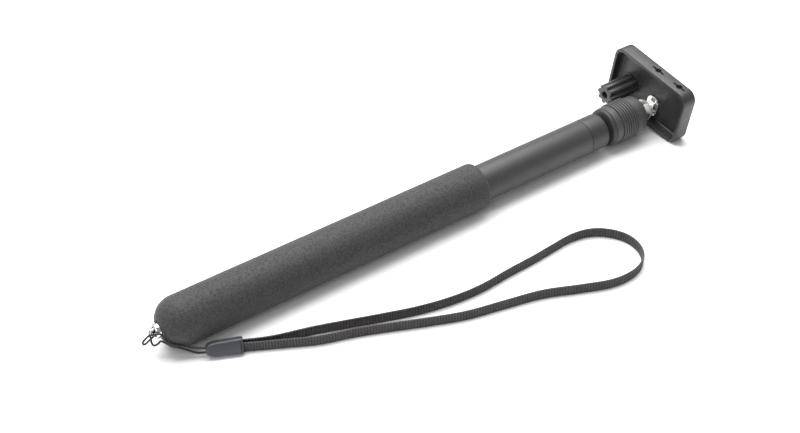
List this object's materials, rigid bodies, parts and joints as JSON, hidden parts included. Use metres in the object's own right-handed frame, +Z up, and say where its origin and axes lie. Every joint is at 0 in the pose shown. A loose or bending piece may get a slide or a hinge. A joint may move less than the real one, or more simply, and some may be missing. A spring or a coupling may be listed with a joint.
{
  "type": "selfie stick",
  "caption": "Telescopic hand-held stick with a foam grip, ribbed lock collar, tilting camera platform, thumb knob and wrist strap.",
  "frame": {"origin": "middle of the bottom of the stick's own box, on the surface it lies on, the wrist strap and its connector left out", "axes": "+X along the stick from the wrist eye towards the camera platform, +Z up, +Y to the left when looking along +X"},
  "size_m": [0.344, 0.1288, 0.041],
  "materials": {
    "foam_grip": "fine-grained matt foam sleeve",
    "tube_black": "satin black",
    "tube_silver": "drawn, semi-bright",
    "black_plastic": "matt moulded",
    "collar_plastic": "satin moulded, ribbed",
    "platform_plastic": "satin moulded",
    "knob_plastic": "semi-gloss moulded",
    "connector_plastic": "satin moulded",
    "chrome": "polished plating",
    "steel": "zinc-plated",
    "brass": "turned",
    "pad_rubber": "fine pattern",
    "strap_webbing": "flat woven braid",
    "thin_cord": "round twisted cord"
  },
  "bodies": {
    "handle": {"foam_grip": "foam_grip", "grip_end_plug": "black_plastic", "eye_washer": "chrome", "eye_screw": "chrome", "eye_nut": "steel", "handle_tube": "tube_black", "tube_ferrule": "black_plastic", "wrist_strap": "strap_webbing", "strap_cord": "thin_cord", "connector_lower": "connector_plastic", "connector_upper": "connector_plastic"},
    "section_2": {"section_2_tube": "tube_silver", "section_2_sleeve": "brass", "section_2_bush": "black_plastic"},
    "section_3": {"section_3_tube": "tube_silver", "section_3_sleeve": "brass", "section_3_bush": "black_plastic"},
    "section_4": {"section_4_tube": "tube_silver", "section_4_sleeve": "brass", "section_4_bush": "black_plastic"},
    "section_5": {"section_5_tube": "tube_black", "section_5_sleeve": "brass", "section_5_plug": "black_plastic"},
    "head": {"head_base": "black_plastic", "tilt_post": "chrome", "tilt_pin": "chrome"},
    "squeeze_ring": {"squeeze_ring": "brass"},
    "lock_collar": {"lock_collar": "collar_plastic"},
    "platform": {"hinge_tongue": "chrome", "rivet_upper": "chrome", "rivet_lower": "chrome", "camera_platform": "platform_plastic", "rubber_pad": "pad_rubber", "knob_washer": "steel"},
    "camera_screw": {"star_knob": "knob_plastic", "camera_screw": "steel", "screw_clip": "steel"}
  },
  "joints": [
    {"name": "section_2_slide", "type": "slide", "parent": "handle", "child": "section_2", "axis": [1, 0, 0], "range_m": [0, 0.216]},
    {"name": "section_3_slide", "type": "slide", "parent": "section_2", "child": "section_3", "axis": [1, 0, 0], "range_m": [0, 0.216]},
    {"name": "section_4_slide", "type": "slide", "parent": "section_3", "child": "section_4", "axis": [1, 0, 0], "range_m": [0, 0.216]},
    {"name": "section_5_slide", "type": "slide", "parent": "section_4", "child": "section_5", "axis": [1, 0, 0], "range_m": [0, 0.216]},
    {"name": "head_turn", "type": "hinge", "parent": "section_5", "child": "head", "pos_m": [0.12398, -0.0027, 0.013], "axis": [1, 0, 0], "continuous": true},
    {"name": "collar_travel", "type": "slide", "parent": "head", "child": "squeeze_ring", "axis": [1, 0, 0], "range_m": [0, 0.00075]},
    {"name": "collar_twist", "type": "hinge", "parent": "squeeze_ring", "child": "lock_collar", "pos_m": [0.13398, -0.0027, 0.013], "axis": [1, 0, 0], "range_deg": [0, 180]},
    {"name": "platform_tilt", "type": "hinge", "parent": "head", "child": "platform", "pos_m": [0.14947, -0.0027, 0.013], "axis": [0, -0.9903, -0.1392], "range_deg": [-30, 65]},
    {"name": "knob_turn", "type": "hinge", "parent": "platform", "child": "camera_screw", "pos_m": [0.15448, 0.01609, 0.01867], "axis": [1, 0, 0], "continuous": true}
  ],
  "couplings": [
    {"joint": "collar_travel", "follows": "collar_twist", "m_per_rad": 0.0002387}
  ]
}
